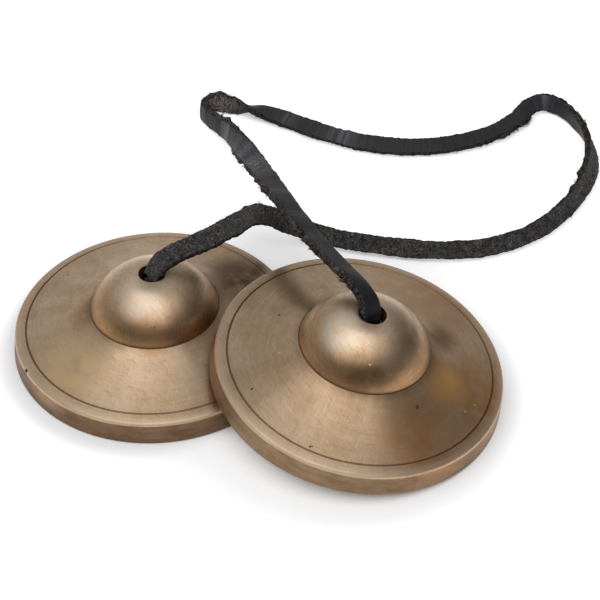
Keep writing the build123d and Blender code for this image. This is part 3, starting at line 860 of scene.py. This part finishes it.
def make_thong(name, line, materials, fibres, seed, widths):
    """A flat leather thong along that line, with loose fibres."""
    section = thong_section()
    count, around = len(line["middle"]), len(section)
    painted_sheen, cracked = nearness(line["middle"], PAINTED_SHEEN_PLACES), nearness(line["middle"], CRACKED_PLACES)
    frayed = np.stack([fraying(line["middle"], side) for side in (1, -1)], axis=1)
    browner = np.stack([fraying(line["middle"], side, True) for side in (1, -1)], axis=1)
    skin = thong_surface(line, widths, frayed, painted_sheen)
    faces, kinds = [], []
    for i in range(count - 1):
        for j in range(around):
            k = (j + 1) % around
            faces.append((i * around + j, i * around + k, (i + 1) * around + k, (i + 1) * around + j))
            kinds.append(section[j][2] if section[j][2] == section[k][2] else 1)
    faces += [tuple(range(around - 1, -1, -1)), tuple(range((count - 1) * around, count * around))]
    kinds += [1, 1]
    stations = np.repeat(np.arange(count), around)
    spots = np.tile(np.arange(around), count)
    sides = np.tile([0 if x > 0 else 1 for x, _, _ in section], count)
    loose = fibre_strands(line, frayed, fibres, seed)
    first = len(skin)
    for _ in loose:
        for ring in range(3):
            for j in range(3):
                k = (j + 1) % 3
                low, high = first + ring * 3, first + ring * 3 + 3
                faces.append((low + j, low + k, high + k, high + j))
        faces += [(first + 2, first + 1, first), (first + 9, first + 10, first + 11)]
        kinds += [1] * 11
        first += 12
    skin = np.concatenate([skin] + [strand for strand, _, _ in loose])
    stations = np.concatenate([stations, np.repeat([i for _, i, _ in loose], 12)])
    spots = np.concatenate([spots, np.zeros(12 * len(loose), dtype=int)])
    sides = np.concatenate([sides, np.repeat([side for _, _, side in loose], 12)])
    skin[:, 2] = np.maximum(skin[:, 2], LOWEST_SKIN)
    mesh = bpy.data.meshes.new(name)
    mesh.from_pydata(skin.tolist(), [], faces)
    for material in materials:
        mesh.materials.append(material)
    mesh.polygons.foreach_set("material_index", kinds)
    # Share of the broad painted sheen along the strap
    broad_sheen = np.interp(line["travel"], *BROAD_SHEEN_STRETCH)
    worn_and_highlit = {"painted_sheen": painted_sheen[stations], "cracked": cracked[stations], "frayed": browner[stations, sides],
            "broad_sheen": broad_sheen[stations]}
    for label, values in worn_and_highlit.items():
        mesh.attributes.new(label, "FLOAT", "POINT").data.foreach_set("value", values)
    corners = np.empty(len(mesh.loops), dtype=np.int32)
    mesh.loops.foreach_get("vertex_index", corners)
    lengthwise = line["travel"][stations[corners]] / (STRAP_WIDTH * MM)
    uv = mesh.uv_layers.new(name="strap")
    uv.data.foreach_set("uv", np.stack([lengthwise, spots[corners] / around], axis=1).ravel())
    thong = bpy.data.objects.new(name, mesh)
    scene.collection.objects.link(thong)
    bpy.ops.object.select_all(action="DESELECT")
    thong.select_set(True)
    bpy.context.view_layer.objects.active = thong
    bpy.ops.object.mode_set(mode="EDIT")
    bpy.ops.mesh.select_all(action="SELECT")
    bpy.ops.mesh.normals_make_consistent(inside=False)
    bpy.ops.object.mode_set(mode="OBJECT")
    bpy.ops.object.shade_smooth()
    return thong


# Knots
def knot_route(mouth, turn):
    """An overhand knot pulled tight under the hole, from the strap's end down to a short tail."""
    drop = MOUTH_HEIGHT - KNOT_HEIGHT
    places = [(0.0, 0.0, -1.4), (0.1, 0.1, -4.2)]
    for step in range(13):
        t = math.radians(40 + 23.5 * step)
        across = KNOT_SIZE * (math.sin(t) + 2 * math.sin(2 * t))
        outward = KNOT_SIZE * (math.cos(t) - 2 * math.cos(2 * t))
        places.append((across, outward, -drop - KNOT_RISE * math.sin(3 * t)))
    places += [(0.2, -0.6, -drop - 3.4), (0.4, -1.6, -drop - 6.6)]
    side = turn @ Vector((0.6, -0.7, 0.35))
    return [(mouth + turn @ (Vector(place) * MM), side) for place in places]


def make_knot(name, mouth, turn, materials, seed):
    line = thong_line(knot_route(mouth, turn), name + "_route")
    line = {key: values[::KNOT_POINT_STEP] for key, values in line.items()}
    return make_thong(name, line, materials, KNOT_FIBRES, seed, KNOT_WIDTH)


# Floor and light
def add_floor():
    """A white floor that glows where nothing stands near, with soft shade round the cymbals."""
    bpy.ops.object.select_all(action="DESELECT")
    bpy.ops.mesh.primitive_plane_add(size=FLOOR_SIZE, location=(0, 0, FLOOR_HEIGHT))
    floor = bpy.context.object
    floor.name = "floor"
    f = Finish("white_floor")
    diffuse = f.add("ShaderNodeBsdfDiffuse")
    diffuse.inputs["Color"].default_value = FLOOR_TONE
    path = f.add("ShaderNodeLightPath")
    seen = f.math("MAXIMUM", path.outputs["Is Camera Ray"], path.outputs["Is Glossy Ray"])
    seen = f.math("MAXIMUM", seen, path.outputs["Is Transmission Ray"])
    open_sky = f.add("ShaderNodeAmbientOcclusion", samples=12)
    open_sky.inputs["Distance"].default_value = SHADE_REACH
    glow = f.add("ShaderNodeEmission")
    clear = 1.0
    for foot in (FLAT_FOOT, LEANING_FOOT):
        away = f.add("ShaderNodeVectorMath", operation="DISTANCE")
        f.feed(away.inputs[0], f.place())
        away.inputs[1].default_value = foot
        clear = f.math("MULTIPLY", clear, f.span(away.outputs["Value"], 0.046, 0.062))
    shade = f.math("MAXIMUM", clear, f.span(open_sky.outputs["AO"], 0.80, 1.0))
    corner = f.span(open_sky.outputs["AO"], 0.12, 0.36, 0.0, CORNER_GLOW)
    lit = f.math("MULTIPLY_ADD", shade, FLOOR_GLOW - CORNER_GLOW, corner)
    beside = f.add("ShaderNodeVectorMath", operation="DISTANCE")
    f.feed(beside.inputs[0], f.place())
    beside.inputs[1].default_value = FLAT_FOOT + SIDE_SHADE_SHIFT
    lit = f.math("MULTIPLY", lit, f.span(beside.outputs["Value"], 0.0325, 0.0390, 0.42, 1.0))
    f.feed(glow.inputs["Strength"], f.math("MULTIPLY", seen, lit))
    both = f.add("ShaderNodeAddShader")
    f.feed(both.inputs[0], diffuse.outputs[0])
    f.feed(both.inputs[1], glow.outputs[0])
    f.feed(f.tree.nodes["Material Output"].inputs["Surface"], both.outputs[0])
    f.tree.nodes.remove(f.shader)
    floor.data.materials.append(f.material)


def add_softbox(name, place, target, size, power):
    data = bpy.data.lights.new(name, "AREA")
    data.shape = "RECTANGLE"
    data.size, data.size_y = size
    data.energy = power
    lamp = bpy.data.objects.new(name, data)
    lamp.location = place
    lamp.rotation_euler = (Vector(target) - Vector(place)).to_track_quat("-Z", "Y").to_euler()
    scene.collection.objects.link(lamp)


def light_studio():
    """A dim room, brighter behind, and one large soft light from the front."""
    world = bpy.data.worlds.new("studio")
    scene.world = world
    world.use_nodes = True
    tree = world.node_tree
    coordinate = tree.nodes.new("ShaderNodeTexCoord")
    toward = tree.nodes.new("ShaderNodeVectorMath")
    toward.operation = "DOT_PRODUCT"
    tree.links.new(coordinate.outputs["Generated"], toward.inputs[0])
    toward.inputs[1].default_value = BRIGHT_WAY
    depth = tree.nodes.new("ShaderNodeMapRange")
    depth.interpolation_type = "SMOOTHSTEP"
    for socket, value in zip(depth.inputs, (0.0, *BRIGHT_EASE, *BRIGHT_STRENGTH)):
        socket.default_value = value
    tree.links.new(toward.outputs["Value"], depth.inputs[0])
    tree.links.new(depth.outputs[0], tree.nodes["Background"].inputs["Strength"])
    tree.nodes["Background"].inputs["Color"].default_value = (1, 1, 1, 1)
    add_softbox("key_softbox", KEY_PLACE, KEY_TARGET, KEY_SIZE, KEY_POWER)


add_camera()
strap = thong_line(strap_route(), "strap_route")
seam = SEAM_RUN * POINTS_PER_RUN
left_line = stretch(strap, 0, seam + 1)
right_line = stretch(strap, seam, None)
leather = [grain_leather(), raw_edge_leather(), suede_leather()]
left_widths = np.interp(left_line["travel"], *FLAT_SIDE_WIDTHS)
left_strap = make_thong("strap_flat_side", left_line, leather, FLAT_SIDE_FIBRES, 3, left_widths)
to_go = strap["travel"][-1] - right_line["travel"]
right_widths = np.interp(to_go, *LEANING_SIDE_WIDTHS)
right_strap = make_thong("strap_leaning_side", right_line, leather, LEANING_SIDE_FIBRES, 7, right_widths)
flat_knot = make_knot("knot_flat", FLAT_MOUTH, FLAT_TURN, leather, 13)
leaning_knot = make_knot("knot_leaning", LEANING_MOUTH, LEANING_TURN, leather, 17)

casting = spin_casting()
second_casting = casting.copy()
second_casting.data = casting.data.copy()
scene.collection.objects.link(second_casting)
inside = cast_bronze()
flat_bronze = brushed_bronze("brushed_bronze_flat", FLAT_FOOT, FLAT_TURN, 3.0, FLAT_PITS, [],
                             FLAT_WALL_SHADED_TONES, FLAT_TONE_AND_LIGHT_PATCHES)
leaning_bronze = brushed_bronze("brushed_bronze_leaning", LEANING_FOOT, LEANING_TURN, 11.0, LEANING_PITS,
                                LEANING_SPECKS, LEANING_WALL_SHADED_TONES, LEANING_TONE_AND_LIGHT_PATCHES)
flat_cymbal = finish_cymbal(casting, "cymbal_flat", FLAT_FOOT, FLAT_TURN, FLAT_NOTCH, [flat_bronze, inside])
leaning_cymbal = finish_cymbal(second_casting, "cymbal_leaning", LEANING_FOOT, LEANING_TURN, None,
                               [leaning_bronze, inside])

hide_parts("left_cymbal")
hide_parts("right_cymbal")
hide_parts("left_knot")
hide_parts("right_knot")
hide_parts("strap_left_end", "strap_loop")
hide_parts("strap_right_end")
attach(flat_cymbal, "flat_cymbal")
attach(leaning_cymbal, "leaning_cymbal")
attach(flat_knot, "flat_knot")
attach(leaning_knot, "leaning_knot")
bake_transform(left_strap)
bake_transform(right_strap)

add_floor()
light_studio()
